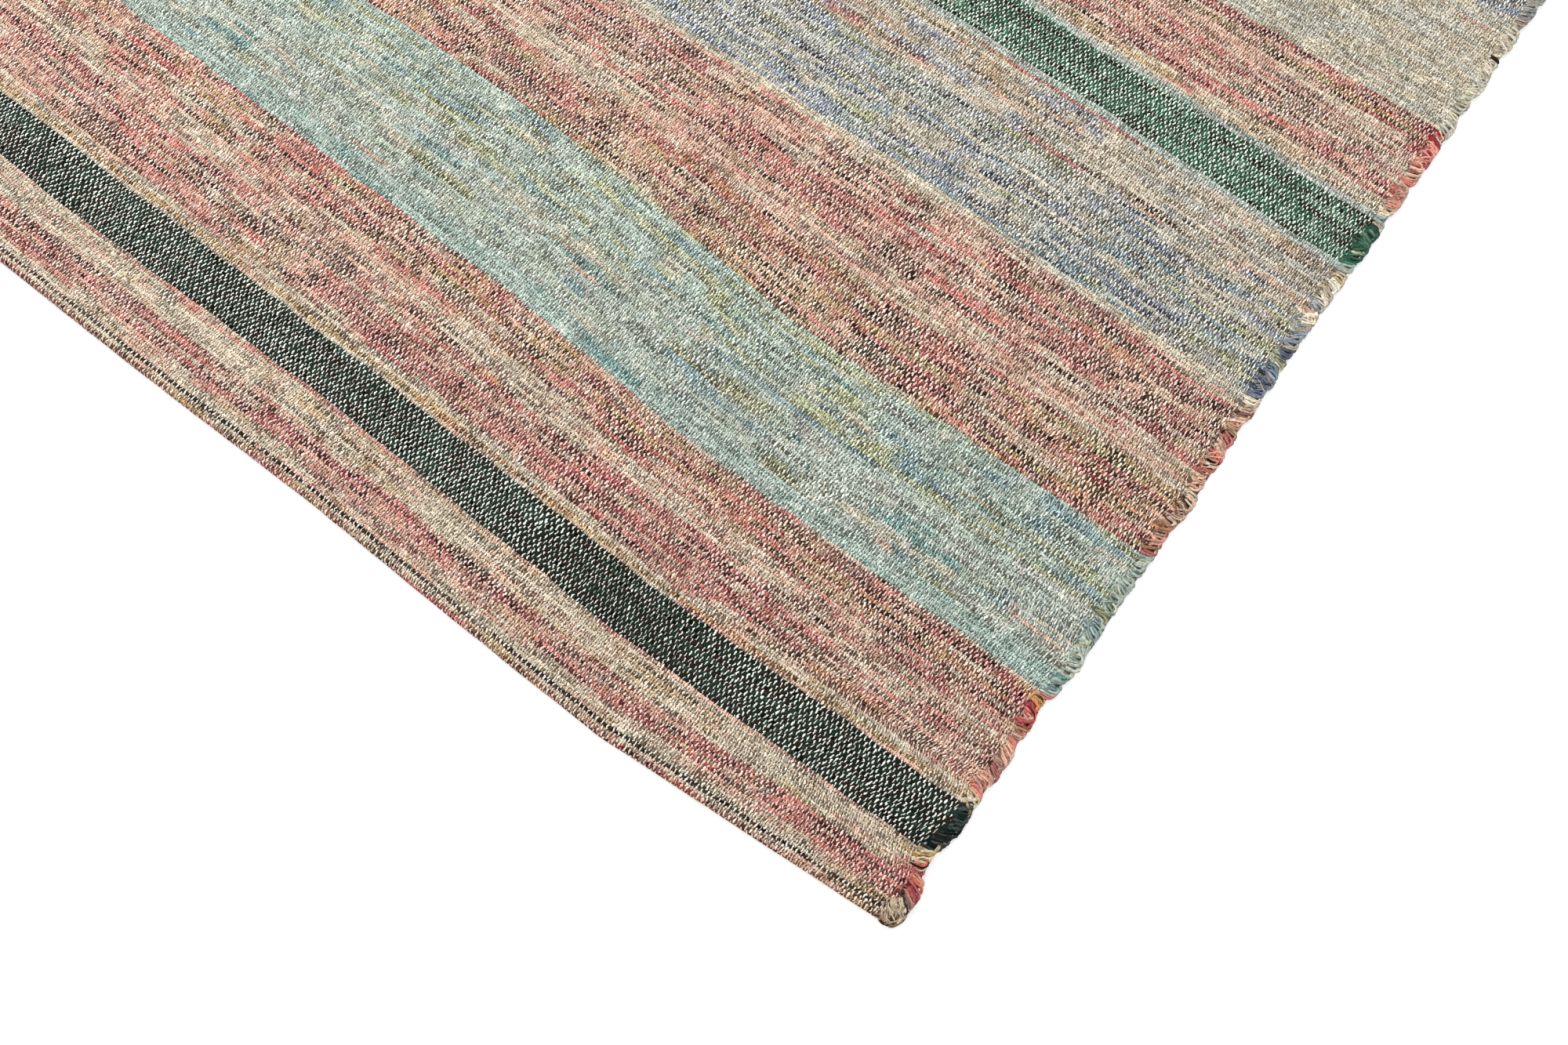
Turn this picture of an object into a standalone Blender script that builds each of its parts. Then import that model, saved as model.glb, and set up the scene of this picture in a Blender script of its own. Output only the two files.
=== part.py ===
"""A flat-woven rag rug, turned under and hemmed at both ends, lying flat. Metres, +Z up.

X runs along the weft, from selvedge to selvedge. Y runs along the warp, from the near hem to the far
hem. The origin is on the floor, under the middle of the rug.

The rug is one length of cloth, so it is one solid: a grid of points on the middle of the cloth, a row
for each notch and shoulder of the weft turns along the selvedges, given its thickness upwards and
downwards.
"""

import math

import bmesh
import bpy

WIDTH = 1.220  # over the furthest weft turns
LENGTH = 1.830  # from hem fold to hem fold
CLOTH = 0.0045  # thickness of the weave

# Hems
HEM_DEPTH = 0.030  # cloth turned under at each end
LAYER_GAP = 0.0003  # air between the turned-under cloth and the cloth above it
HEM_SLOPE = 0.045  # run in which the cloth comes down from its hem to the floor
FOLD_STEPS = 8
SLOPE_STEPS = 4
STRAIGHT_HALF = 0.350  # the fold runs straight this far to each side of the middle
# How far the fold draws back towards the rug's middle at each corner
DRAW_BACK = {"near": {"left": 0.012, "right": 0.020}, "far": {"left": 0.016, "right": 0.010}}

# Corners: the end of each rolled hem stands out as a round knuckle
KNUCKLE_OUT = 0.004  # beyond the line of the fold
KNUCKLE_UP = 0.0012
KNUCKLE_WIDTH = 0.020

# Selvedges: the weft turns back in uneven scallops
FIELD_TURNS = 56  # scallops between the two hems, along each selvedge
TURN_UNEVEN = 0.30  # share by which a scallop is longer or shorter than the mean
TURN_BEAT = {"left": 1.7, "right": 2.4}  # radians per scallop in the sine that sizes them
TURN_DEPTH = 0.0032  # from the shoulder of a scallop to the notch beside it
# Rows of points along one scallop: share of its length, share of its reach
SHOULDERS = ((0.00, 0.00), (0.24, 0.85), (0.50, 1.00), (0.76, 0.85))
EDGE_THICKNESS = 0.45  # share of CLOTH left at the very edge
ROUND_OVER = 0.006  # width in which the edge thins out
BEAD_UP = 0.0007  # the packed turns stand this much above the field
HEM_INSET = 0.002  # hem ends inside the furthest turns
# Where a selvedge draws in: distance from the near fold, half-length of the dip, depth of the dip
DIPS = {
    "right": ((0.078, 0.032, 0.0060), (0.225, 0.026, 0.0035), (0.62, 0.09, 0.0020), (1.30, 0.20, 0.0025)),
    "left": ((0.140, 0.050, 0.0040), (0.52, 0.12, 0.0030), (1.05, 0.09, 0.0045), (1.60, 0.06, 0.0050)),
}

# The field lies almost flat
RIPPLE_UP = 0.0006  # unevenness of its upper face
RIPPLES = ((0.310, 2.0), (0.530, -5.0))  # length along Y, slant in radians per metre of X

HALF_WIDTH = WIDTH / 2
HALF_LENGTH = LENGTH / 2
FIELD_START = HEM_DEPTH + HEM_SLOPE
# Columns of points across the rug, as X over HALF_WIDTH
INNER_COLUMN = STRAIGHT_HALF / HALF_WIDTH
ROUND_COLUMN = 1 - ROUND_OVER / HALF_WIDTH
KNUCKLE_COLUMN = 1 - KNUCKLE_WIDTH / HALF_WIDTH
RIGHT_COLUMNS = (INNER_COLUMN, KNUCKLE_COLUMN, ROUND_COLUMN, 1.0)
COLUMNS = tuple(-column for column in reversed(RIGHT_COLUMNS)) + (0.0,) + RIGHT_COLUMNS
KNUCKLE_SHARES = {ROUND_COLUMN: 1.0, 1.0: 0.35}


def ease(share):
    """A share from 0 to 1, with a soft start and end."""
    return share * share * (3 - 2 * share)


def fold_line(end, across):
    """Y of a hem's fold. It is straight, then draws back in a line to each corner."""
    side = "right" if across > 0 else "left"
    past = max(0.0, abs(across) * HALF_WIDTH - STRAIGHT_HALF) / (HALF_WIDTH - STRAIGHT_HALF)
    inward = DRAW_BACK[end][side] * past
    return -HALF_LENGTH + inward if end == "near" else HALF_LENGTH - inward


def notches(side):
    """Where each scallop of a selvedge starts and the last one ends, as shares of the field."""
    sizes = [1 + TURN_UNEVEN * math.sin(TURN_BEAT[side] * n) for n in range(FIELD_TURNS)]
    places = [0.0]
    for size in sizes:
        places.append(places[-1] + size / sum(sizes))
    return places


def dip(side, y):
    """How far a selvedge draws in at Y, before its scallops."""
    from_near = y + HALF_LENGTH
    return sum(depth * math.exp(-(((from_near - at) / half) ** 2)) for at, half, depth in DIPS[side])


def edge_x(side, y, reach):
    """X of a selvedge. reach is 0 in a notch and 1 on the shoulder of a scallop."""
    inset = dip(side, y) + TURN_DEPTH * (1 - reach)
    return HALF_WIDTH - inset if side == "right" else inset - HALF_WIDTH


def hem_sections():
    """The cloth at a hem, from its raw edge under the rug, round the fold and down to the floor.

    Each is (inward, height, out_inward, out_up): a point on the middle of the cloth, measured inward from
    the fold and up from the floor, and the way that the cloth's face side looks there.
    """
    fold_radius = CLOTH + LAYER_GAP / 2
    middle_radius = fold_radius - CLOTH / 2
    sections = [(HEM_DEPTH, CLOTH / 2, 0.0, -1.0)]
    for step in range(FOLD_STEPS + 1):
        angle = math.pi * (step / FOLD_STEPS - 0.5)
        inward, up = -math.cos(angle), math.sin(angle)
        sections.append(
            (fold_radius + middle_radius * inward, fold_radius + middle_radius * up, inward, up)
        )
    top = fold_radius + middle_radius
    sections.append((HEM_DEPTH, top, 0.0, 1.0))
    for step in range(1, SLOPE_STEPS + 1):
        share = step / SLOPE_STEPS
        height = top + (CLOTH / 2 - top) * ease(share)
        sections.append((HEM_DEPTH + HEM_SLOPE * share, height, 0.0, 1.0))
    return sections


def column_x(across, left_edge, right_edge):
    """X of a column. The columns near a selvedge follow it, and the others stay straight."""
    if across > INNER_COLUMN:
        return right_edge - (1 - across) * HALF_WIDTH
    if across < -INNER_COLUMN:
        return left_edge + (1 + across) * HALF_WIDTH
    return across * HALF_WIDTH


def thickness_share(across):
    return EDGE_THICKNESS if abs(across) == 1 else 1.0


def hem_row(end, section):
    """The points of one row at a hem, as (face side, back) pairs across the rug."""
    inward, height, out_inward, out_up = section
    towards = 1 if end == "near" else -1
    in_fold = max(0.0, 1 - inward / HEM_DEPTH)
    pairs = []
    for across in COLUMNS:
        knuckle = KNUCKLE_SHARES.get(abs(across), 0.0) * in_fold
        y = fold_line(end, across) + towards * (inward - KNUCKLE_OUT * knuckle)
        left = edge_x("left", y, 1) + HEM_INSET
        right = edge_x("right", y, 1) - HEM_INSET
        x = column_x(across, left, right)
        half = CLOTH / 2 * thickness_share(across)
        fatter = KNUCKLE_UP * knuckle * max(0.0, out_up)
        face = (x, y + towards * out_inward * half, height + out_up * half + fatter)
        back = (x, y - towards * out_inward * half, height - out_up * half)
        pairs.append((face, back))
    return pairs


def ripple(x, y):
    """Lift of the field's upper face above its lowest level."""
    waves = [math.sin(2 * math.pi * y / length + slant * x) for length, slant in RIPPLES]
    return RIPPLE_UP * (1 + sum(waves) / len(waves)) / 2


def field_row(left_share, right_share, reach):
    """The points of one row of the field, as (face side, back) pairs across the rug."""
    pairs = []
    for across in COLUMNS:
        share = left_share + (right_share - left_share) * (across + 1) / 2
        first = fold_line("near", across) + FIELD_START
        last = fold_line("far", across) - FIELD_START
        y = first + (last - first) * share
        x = column_x(across, edge_x("left", y, reach), edge_x("right", y, reach))
        thinner = CLOTH / 2 * (1 - thickness_share(across))
        bead = BEAD_UP * reach if abs(across) == ROUND_COLUMN else 0.0
        lift = ripple(x, y) if abs(across) < ROUND_COLUMN else 0.0
        pairs.append(((x, y, CLOTH - thinner + bead + lift), (x, y, thinner)))
    return pairs


def rug_rows():
    """Every row of the rug, from the near hem's raw edge to the far hem's."""
    hem = hem_sections()
    rows = [hem_row("near", section) for section in hem]
    left, right = notches("left"), notches("right")
    for turn in range(FIELD_TURNS):
        for along, reach in SHOULDERS:
            if turn == 0 and along == 0:
                continue  # the near hem's last row lies there
            left_share = left[turn] + (left[turn + 1] - left[turn]) * along
            right_share = right[turn] + (right[turn + 1] - right[turn]) * along
            rows.append(field_row(left_share, right_share, reach))
    rows += [hem_row("far", section) for section in reversed(hem)]
    return rows


def cloth_mesh(rows):
    """A closed mesh of the rows: the face side, the back, both selvedges and both raw edges."""
    bm = bmesh.new()
    faces, backs = [], []
    for row in rows:
        faces.append([bm.verts.new(face) for face, back in row])
        backs.append([bm.verts.new(back) for face, back in row])
    last_row, last_column = len(rows) - 1, len(COLUMNS) - 1
    for r in range(last_row):
        for c in range(last_column):
            bm.faces.new((faces[r][c], faces[r][c + 1], faces[r + 1][c + 1], faces[r + 1][c]))
            bm.faces.new((backs[r + 1][c], backs[r + 1][c + 1], backs[r][c + 1], backs[r][c]))
        for c in (0, last_column):
            bm.faces.new((faces[r][c], faces[r + 1][c], backs[r + 1][c], backs[r][c]))
    for c in range(last_column):
        for r in (0, last_row):
            bm.faces.new((faces[r][c], faces[r][c + 1], backs[r][c + 1], backs[r][c]))
    bmesh.ops.recalc_face_normals(bm, faces=bm.faces)
    mesh = bpy.data.meshes.new("rug")
    bm.to_mesh(mesh)
    bm.free()
    mesh.shade_smooth()
    mesh.set_sharp_from_angle(angle=math.radians(40))
    return mesh


def rag_weave():
    """Washed-out rose, the colour that the stripes come to together."""
    material = bpy.data.materials.new("rag weave")
    material.use_nodes = True
    surface = material.node_tree.nodes["Principled BSDF"]
    surface.inputs["Base Color"].default_value = (0.47, 0.40, 0.34, 1.0)
    surface.inputs["Roughness"].default_value = 0.95
    surface.inputs["Metallic"].default_value = 0.0
    return material


def main():
    for obj in list(bpy.data.objects):
        bpy.data.objects.remove(obj, do_unlink=True)
    rug = bpy.data.objects.new("rug", cloth_mesh(rug_rows()))
    rug.data.materials.append(rag_weave())
    bpy.context.scene.collection.objects.link(rug)


main()
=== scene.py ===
"""The looks of a flat-woven rag rug, hemmed at both ends and lying flat. Metres, +Z up.

X runs along the weft, from selvedge to selvedge, and Y along the warp, from the near hem to the far hem.
Each colour stripe is one closed sheet, ribbed pick by pick. The weft is laid as runs of rag yarn, and the
sheets carry its colours from column to column. One material draws the warp over them. At both selvedges
strands of the same yarn leave the cloth, turn along its edge and go back in.
"""

import math
import random

import bpy
import numpy as np
from mathutils import Matrix, Vector


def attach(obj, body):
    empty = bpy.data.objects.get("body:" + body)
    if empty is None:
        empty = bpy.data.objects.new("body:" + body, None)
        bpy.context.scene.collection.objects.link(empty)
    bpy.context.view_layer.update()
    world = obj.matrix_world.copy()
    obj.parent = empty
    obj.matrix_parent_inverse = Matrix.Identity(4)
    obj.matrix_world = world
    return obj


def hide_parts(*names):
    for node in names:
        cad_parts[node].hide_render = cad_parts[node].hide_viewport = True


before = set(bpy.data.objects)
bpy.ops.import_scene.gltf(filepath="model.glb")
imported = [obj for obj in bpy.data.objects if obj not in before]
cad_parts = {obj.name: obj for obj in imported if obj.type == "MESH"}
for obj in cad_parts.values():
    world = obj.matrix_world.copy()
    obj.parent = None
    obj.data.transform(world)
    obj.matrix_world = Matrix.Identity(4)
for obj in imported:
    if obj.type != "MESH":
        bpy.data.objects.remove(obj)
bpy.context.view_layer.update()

SOLID = "rug"
MM = 0.001
OUT = {"left": -1, "right": 1}  # the way that X runs outwards at a side

# The cloth, sized as its solid, with its near fold drawn more finely
HALF_WIDTH = 0.610
HALF_LENGTH = 0.915
CLOTH = 0.0045  # thickness of the weave
HEM_DEPTH = 0.030  # cloth turned under at each end
LAYER_GAP = 0.0003
HEM_SLOPE = 0.045  # run in which the cloth comes down from its hem to the floor
STRAIGHT_HALF = 0.350  # the fold runs straight this far to each side of the middle
# How far a fold draws back towards the rug's middle at each corner
DRAW_BACK = {"near": {"left": 0.012, "right": 0.0225}, "far": {"left": 0.016, "right": 0.010}}
NEAR_BOW = (0.050, 0.120, 0.0026)  # where the near fold bows in, half-length of the bow, its depth
NEAR_BACK = 0.0008  # how much further in the near fold lies, all along
FOLD_RADIUS = CLOTH + LAYER_GAP / 2  # of the cloth's face round a fold
FOLD_ARC = FOLD_RADIUS * math.pi  # along the face, from the top of a fold to its underside
HEM_REACH = FOLD_ARC + HEM_DEPTH - FOLD_RADIUS  # along the face, from the top of a fold to the raw edge
FIELD_START = HEM_DEPTH + HEM_SLOPE
RIPPLE_UP = 0.0006  # unevenness of the field's face
RIPPLES = ((0.310, 2.0), (0.530, -5.0))  # length along Y, slant in radians per metre of X

# Its selvedges
FIELD_TURNS = 56  # scallops between the two hems
TURN_UNEVEN = 0.30  # share by which a scallop is longer or shorter than the mean
TURN_BEAT = {"left": 1.7, "right": 2.4}  # radians per scallop in the sine that sizes them
TURN_DEPTH = 0.0022  # from the shoulder of a scallop to the notch beside it
SHOULDERS = ((0.0, 0.24, 0.50, 0.76, 1.0), (0.0, 0.85, 1.0, 0.85, 0.0))  # along a scallop, its reach
HEM_INSET = 0.0002  # the hems' corners end this far inside the furthest turns
# Where a selvedge draws in: distance from the near fold, half-length of the dip, depth of the dip
DIPS = {
    "right": ((0.048, 0.017, -0.0022), (0.081, 0.017, 0.0062), (0.143, 0.007, 0.0038),
              (0.213, 0.020, 0.0034), (0.265, 0.014, -0.0034), (0.360, 0.012, -0.0020),
              (0.423, 0.013, -0.0030), (0.62, 0.09, 0.0020), (1.30, 0.20, 0.0025)),
    "left": ((0.140, 0.050, 0.0040), (0.52, 0.12, 0.0030), (1.05, 0.09, 0.0045), (1.60, 0.06, 0.0050)),
}

# The weave
END = 0.0023  # from one warp end to the next
PICK = 0.0038  # from one row of weft to the next
WANDER = MM * 0.35  # scales how far a pick strays along the warp
RIB_UP = 0.0008  # crest of a pick over the groove beside it
PLUMP = (0.62, 1.12)  # share of RIB_UP that a pick rises to
PLUMP_MARKS = 90  # places along a pick where that is drawn
# Rows of points on a pick: share of its width, share of RIB_UP
RIB = ((1 / 6, 0.25), (1 / 2, 1.0), (5 / 6, 0.25))
COLUMN_STEP = 0.0060  # between the columns of points along the weft
INNER_HALF = 0.596  # the evenly spaced columns end here
OUTER_COLUMNS = (0.599, 0.6024, 0.6052)  # the last one is the edge of the sheets
OUTER_DROPS = (0.0003, 0.0012, 0.0027)  # how much the face comes down there, under the turns of the weft
HEM_END = 0.6050  # in a hem, what lies past this is drawn in towards it
HEM_DRAWN = 0.85  # share of the way
BARE_ENDS = 6.5  # warp ends at each selvedge that the weft covers
PICKS_UNDER = 7  # in the layer turned under a hem
PICKS_ROUND = 3  # round the fold of a hem
HEM_PICKS = PICKS_UNDER + PICKS_ROUND
BACK_STEP = 9  # the back has one row of points for this many on the face
MARKS_HALF = 0.600  # outermost marks of a line between two stripes

# Yarns, in 8-bit sRGB
YARNS = {
    "cream": (222, 206, 180),
    "ecru": (203, 190, 164),
    "pale pink": (228, 174, 150),
    "rose": (208, 112, 104),
    "crimson": (160, 34, 56),
    "tan": (190, 160, 122),
    "mustard": (188, 152, 94),
    "orange": (190, 124, 74),
    "brown": (96, 66, 46),
    "black brown": (46, 32, 24),
    "mauve": (134, 92, 92),
    "olive": (136, 132, 76),
    "lime": (180, 180, 128),
    "aqua": (170, 187, 176),
    "strong aqua": (158, 182, 171),
    "sage": (172, 184, 164),
    "grey aqua": (172, 184, 174),
    "sea blue": (96, 134, 148),
    "teal": (66, 128, 128),
    "blue": (116, 132, 156),
    "navy": (66, 76, 104),
    "silver": (190, 190, 180),
    "grey": (146, 144, 138),
    "bottle green": (26, 46, 38),
    "ink": (20, 28, 28),
    "dusk green": (42, 64, 55),
    "mid green": (44, 92, 72),
    "leaf green": (66, 114, 90),
    "faded green": (120, 150, 130),
}

# Bands: how much the fluff of one hides the warp, and how much of each yarn goes into it
BANDS = {
    "rose": (0.12, {"pale pink": 8, "rose": 9, "cream": 4, "crimson": 3.5, "tan": 1.5, "mauve": 2,
        "black brown": 2.2, "orange": 0.6, "mustard": 0.8, "ecru": 1.5}),
    "warm rose": (0.10, {"pale pink": 5, "rose": 5, "cream": 3, "crimson": 3, "tan": 4, "black brown": 2.2,
        "orange": 1.2, "mustard": 2.2, "mauve": 1.5, "olive": 0.8}),
    "pale rose": (0.24, {"pale pink": 8, "cream": 6, "ecru": 3, "rose": 3, "tan": 2, "crimson": 0.8,
        "mauve": 0.6}),
    "cream tan": (0.24, {"cream": 9, "ecru": 4, "tan": 2.5, "pale pink": 4, "mustard": 1, "rose": 0.6}),
    "mustard": (0.15, {"mustard": 6, "orange": 2, "tan": 3, "olive": 0.6, "pale pink": 1}),
    "crimson": (0.08, {"crimson": 7, "rose": 3, "pale pink": 1.5, "orange": 1}),
    "red rose": (0.10, {"rose": 7, "crimson": 3.5, "pale pink": 6.5, "mauve": 2, "cream": 2,
        "black brown": 1.5, "tan": 1}),
    "dashes": (0.02, {"black brown": 12, "brown": 3, "crimson": 1, "cream": 2, "pale pink": 1}),
    "hem fold": (0.08, {"brown": 5, "tan": 3, "mustard": 1.6, "orange": 1.4, "rose": 3, "pale pink": 1.5,
        "mauve": 2, "crimson": 2.5}),
    "bottle": (0.02, {"bottle green": 9, "ink": 3, "dusk green": 5}),
    "strong aqua": (0.50, {"strong aqua": 5, "aqua": 6, "grey aqua": 2, "sea blue": 0.5, "teal": 0.4}),
    "grey aqua": (0.42, {"grey aqua": 6, "aqua": 3, "sage": 4, "silver": 2, "sea blue": 0.9, "teal": 0.6,
        "ecru": 1.5, "olive": 0.3, "pale pink": 0.2}),
    "bright aqua": (0.36, {"aqua": 7, "strong aqua": 3.5, "grey aqua": 2, "lime": 2.2, "sea blue": 1.2,
        "teal": 0.9, "sage": 2, "olive": 0.9, "cream": 1}),
    "blue": (0.24, {"silver": 4, "blue": 4, "ecru": 3, "navy": 2.0, "grey aqua": 2, "sea blue": 1.2,
        "cream": 2, "lime": 0.8, "grey": 1.6, "olive": 0.4}),
    "blue cream": (0.28, {"cream": 5, "silver": 4, "ecru": 4, "tan": 2, "blue": 2, "pale pink": 1.6,
        "brown": 0.8, "mustard": 0.9, "crimson": 0.4}),
    "cream line": (0.60, {"cream": 8, "silver": 2}),
    "aqua line": (0.50, {"grey aqua": 4, "aqua": 3, "silver": 3}),
    "mid green": (0.04, {"mid green": 8, "leaf green": 4, "dusk green": 2, "faded green": 1}),
    "faded green": (0.12, {"leaf green": 4, "faded green": 3, "mid green": 5, "sage": 1}),
    "cream": (0.60, {"cream": 4, "ecru": 6, "silver": 5, "sage": 0.6, "pale pink": 0.1}),
    "blue grey": (0.28, {"grey": 5, "silver": 4, "ecru": 3, "blue": 3, "sea blue": 1.4, "navy": 0.6,
        "mauve": 1, "tan": 1.5}),
}

# The stripes from the near hem: name, bands of picks, and where the line to the next stripe runs, as Y in
# millimetres at five even marks from the left selvedge to the right
STRIPES = (
    ("near_hem", ((7, "rose"), (3, "hem fold"), (1, "cream tan"), (1, "dashes"), (2, "cream tan"),
                  (2, "pale rose"), (6, "red rose"), (7, "cream tan"), (1, "pale rose")),
     (-840, -844, -839, -844, -834)),
    ("dark_green", ((12, "bottle"),), (-797, -799, -798, -799, -789)),
    ("rose_lower", ((1, "cream tan"), (1, "mustard"), (2, "cream tan"), (12, "rose"), (5, "pale rose"),
                    (10, "warm rose"), (1, "rose")), (-667, -671, -674, -687, -683)),
    ("aqua_lower", ((5, "strong aqua"), (15, "grey aqua"), (16, "bright aqua")),
     (-536, -534, -531, -553, -546)),
    ("rose_upper", ((2, "warm rose"), (13, "warm rose"), (6, "pale rose"), (16, "rose"), (2, "pale rose")),
     (-394, -391, -390, -386, -389)),
    ("blue_lower", ((2, "cream line"), (11, "blue"), (12, "blue"), (6, "blue cream"), (9, "blue cream"),
                    (2, "aqua line")), (-224, -230, -227, -227, -231)),
    ("green_lower", ((14, "mid green"),), (-181, -177, -180, -178, -179)),
    ("rose_middle", ((2, "aqua line"), (4, "cream tan"), (12, "rose"), (5, "pale rose"), (5, "warm rose"),
                     (1, "crimson")), (-66, -70, -66, -70, -68)),
    ("cream_middle", ((36, "cream"),), (70, 66, 72, 69, 70)),
    ("blue_middle", ((14, "blue grey"), (10, "blue"), (7, "blue cream"), (1, "cream line")),
     (190, 194, 189, 187, 192)),
    ("rose_far", ((6, "warm rose"), (12, "rose"), (9, "pale rose"), (1, "crimson")),
     (295, 291, 296, 299, 294)),
    ("aqua_far", ((12, "bright aqua"), (14, "grey aqua"), (7, "strong aqua")), (418, 424, 421, 417, 420)),
    ("rose_beyond", ((2, "crimson"), (13, "rose"), (8, "pale rose"), (2, "cream tan")),
     (515, 511, 516, 518, 513)),
    ("green_far", ((13, "faded green"),), (563, 566, 561, 562, 565)),
    ("blue_far", ((2, "aqua line"), (10, "blue cream"), (14, "blue")), (664, 660, 665, 667, 662)),
    ("rose_outer", ((8, "rose"), (7, "warm rose"), (8, "pale rose"), (2, "cream tan")),
     (757, 761, 758, 754, 759)),
    ("dark_green_far", ((12, "bottle"),), (804, 800, 805, 808, 803)),
    ("far_hem", ((3, "cream tan"), (6, "warm rose"), (8, "rose"), (5, "pale rose"), (4, "dashes"),
                 (2, "cream tan"), (3, "hem fold"), (7, "rose")), None),
)

# Yarns near the right selvedge: first and last pick of the stripe, X where they start, and the yarns
PATCHES = {
    "near_hem": ((12, 18, 0.592, ("brown", "black brown", "tan")),
                 (19, 25, 0.588, ("crimson", "rose", "rose")),
                 (26, 29, 0.580, ("mustard", "tan", "cream"))),
    "rose_lower": ((23, 28, 0.590, ("crimson", "crimson", "rose")), (29, 30, 0.583, ("orange", "mustard"))),
    "rose_middle": ((20, 28, 0.588, ("crimson", "rose")),),
    "blue_lower": ((3, 9, 0.590, ("navy", "blue")),),
}
PATCH_STRAY = (-0.010, 0.006)  # how far a pick's own start may lie from there
PATCH_SHADES = (0.7, 1.2)


def ease(share):
    """A share from 0 to 1, with a soft start and end."""
    return share * share * (3 - 2 * share)


# --- Where the cloth lies ---


def fold_y(end, x):
    """Y of a hem's fold. It is straight, then draws back in a line to each corner."""
    past = np.clip((np.abs(x) - STRAIGHT_HALF) / (HALF_WIDTH - STRAIGHT_HALF), 0, 1)
    inward = np.where(x > 0, DRAW_BACK[end]["right"], DRAW_BACK[end]["left"]) * past
    if end == "near":
        middle, half, depth = NEAR_BOW
        inward = inward + depth * np.exp(-(((x - middle) / half) ** 2)) + NEAR_BACK
    return inward - HALF_LENGTH if end == "near" else HALF_LENGTH - inward


def drawn_in(side, y):
    """How far a selvedge draws in at y, before its scallops."""
    from_near = y + HALF_LENGTH
    return sum(depth * np.exp(-(((from_near - at) / half) ** 2)) for at, half, depth in DIPS[side])


def column_x(base, y):
    """X at y of the column of points that starts out at base. The outer ones follow their selvedge."""
    follow = np.clip((np.abs(base) - STRAIGHT_HALF) / (INNER_HALF - STRAIGHT_HALF), 0, 1)
    inward = np.where(base > 0, drawn_in("right", y), drawn_in("left", y))
    return base - np.sign(base) * follow * inward


def face_height(x, y):
    """Height of the cloth's face, without its ribs."""
    inward = np.minimum(y - fold_y("near", x), fold_y("far", x) - y)
    down = ease(np.clip((inward - HEM_DEPTH) / HEM_SLOPE, 0, 1))
    level = 2 * CLOTH + LAYER_GAP - (CLOTH + LAYER_GAP) * down
    waves = sum(np.sin(2 * math.pi * y / length + slant * x) for length, slant in RIPPLES) / len(RIPPLES)
    settled = np.clip((inward - FIELD_START) / PICK / 4, 0, 1)
    return level + settled * RIPPLE_UP * (1 + waves) / 2


def wander(x, y):
    """How far the picks near a place stray along the warp."""
    slow = 0.7 * np.sin(x / 0.031 + 9 * np.sin(y / 0.053)) + 0.5 * np.sin(x / 0.0117 + y / 0.0065)
    return WANDER * (slow + 0.6 * np.sin(x / 0.0072 - y / 0.0091 + 2))


def stripe_line(marks, x):
    """Y of the line between two stripes, smooth through its marks in millimetres."""
    place = np.clip((x / MARKS_HALF + 1) / 2, 0, 0.9999) * (len(marks) - 1)
    before = place.astype(int)
    heights = np.array(marks, float)
    y = heights[before] + (heights[before + 1] - heights[before]) * ease(place - before)
    return MM * (y + 0.5 * np.sin(x / 0.019 + marks[0]) + 0.3 * np.sin(x / 0.0083 + marks[1]))


# --- The weft ---


def linear(colour):
    share = np.array(colour) / 255
    return np.where(share <= 0.04045, share / 12.92, ((share + 0.055) / 1.055) ** 2.4)


YARN_LINEAR = {name: linear(colour) for name, colour in YARNS.items()}
INNER_COLUMNS = np.linspace(-INNER_HALF, INNER_HALF, round(2 * INNER_HALF / COLUMN_STEP) + 1)
COLUMNS = np.concatenate([-np.array(OUTER_COLUMNS[::-1]), INNER_COLUMNS, OUTER_COLUMNS])
DROPS = np.interp(np.abs(COLUMNS), (INNER_HALF, *OUTER_COLUMNS), (0, *OUTER_DROPS))
RUN = 0.028  # usual length of one colour in a pick
RUN_SPREAD = 0.75  # of the logarithm of that length
RUN_DEPTH = 0.68  # how far the colour of a run goes from its band's mean to its yarn's
RUN_SHADES = (0.86, 1.12)
FLECK_RUN = 0.010
FLECK_DEPTH = 1.0
KEEP_RUN = 0.28  # chance that a run has the colour of the pick below it
LIGHT_RUN = 0.016  # usual length in which a pick stays as light or dark
LIGHT_SPREAD = 0.9
LIGHTEST, DARKEST = 1.32, 0.60
EVENED, EVENED_UP_TO = 0.9, 0.6  # fluff evens the lights out by this share of itself, up to this fluff
FLUFF_SPREAD = 0.14
# Fluffier and leaner yarns than their band
FLUFFY = {"cream": 0.06, "ecru": 0.05, "pale pink": 0.03, "silver": 0.04, "black brown": -0.30,
          "brown": -0.16, "crimson": -0.10, "navy": -0.12}


def runs(length, spread, dice):
    """The columns of each run along a pick, as slices of this usual length."""
    start = 0
    while start < len(COLUMNS):
        stop = start + max(1, round(length * dice.lognormvariate(0, spread) / COLUMN_STEP))
        yield slice(start, stop)
        start = stop


def lay_pick(band, run_length, depth, below, dice):
    """Red, green, blue and fluff of one pick at each column, in runs of yarn."""
    band_fluff, yarns = BANDS[band]
    names, weights = list(yarns), list(yarns.values())
    mean = sum(YARN_LINEAR[name] * weight for name, weight in yarns.items()) / sum(weights)
    pick = np.empty((len(COLUMNS), 4))
    for run in runs(run_length, RUN_SPREAD, dice):
        name = dice.choices(names, weights)[0]
        colour = (mean + (YARN_LINEAR[name] - mean) * depth) * dice.uniform(*RUN_SHADES)
        fluff = band_fluff + FLUFFY.get(name, 0) + dice.uniform(-FLUFF_SPREAD, FLUFF_SPREAD)
        if below is not None and dice.random() < KEEP_RUN:
            pick[run] = below[run]
        else:
            pick[run] = (*colour, fluff)
    return pick


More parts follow.
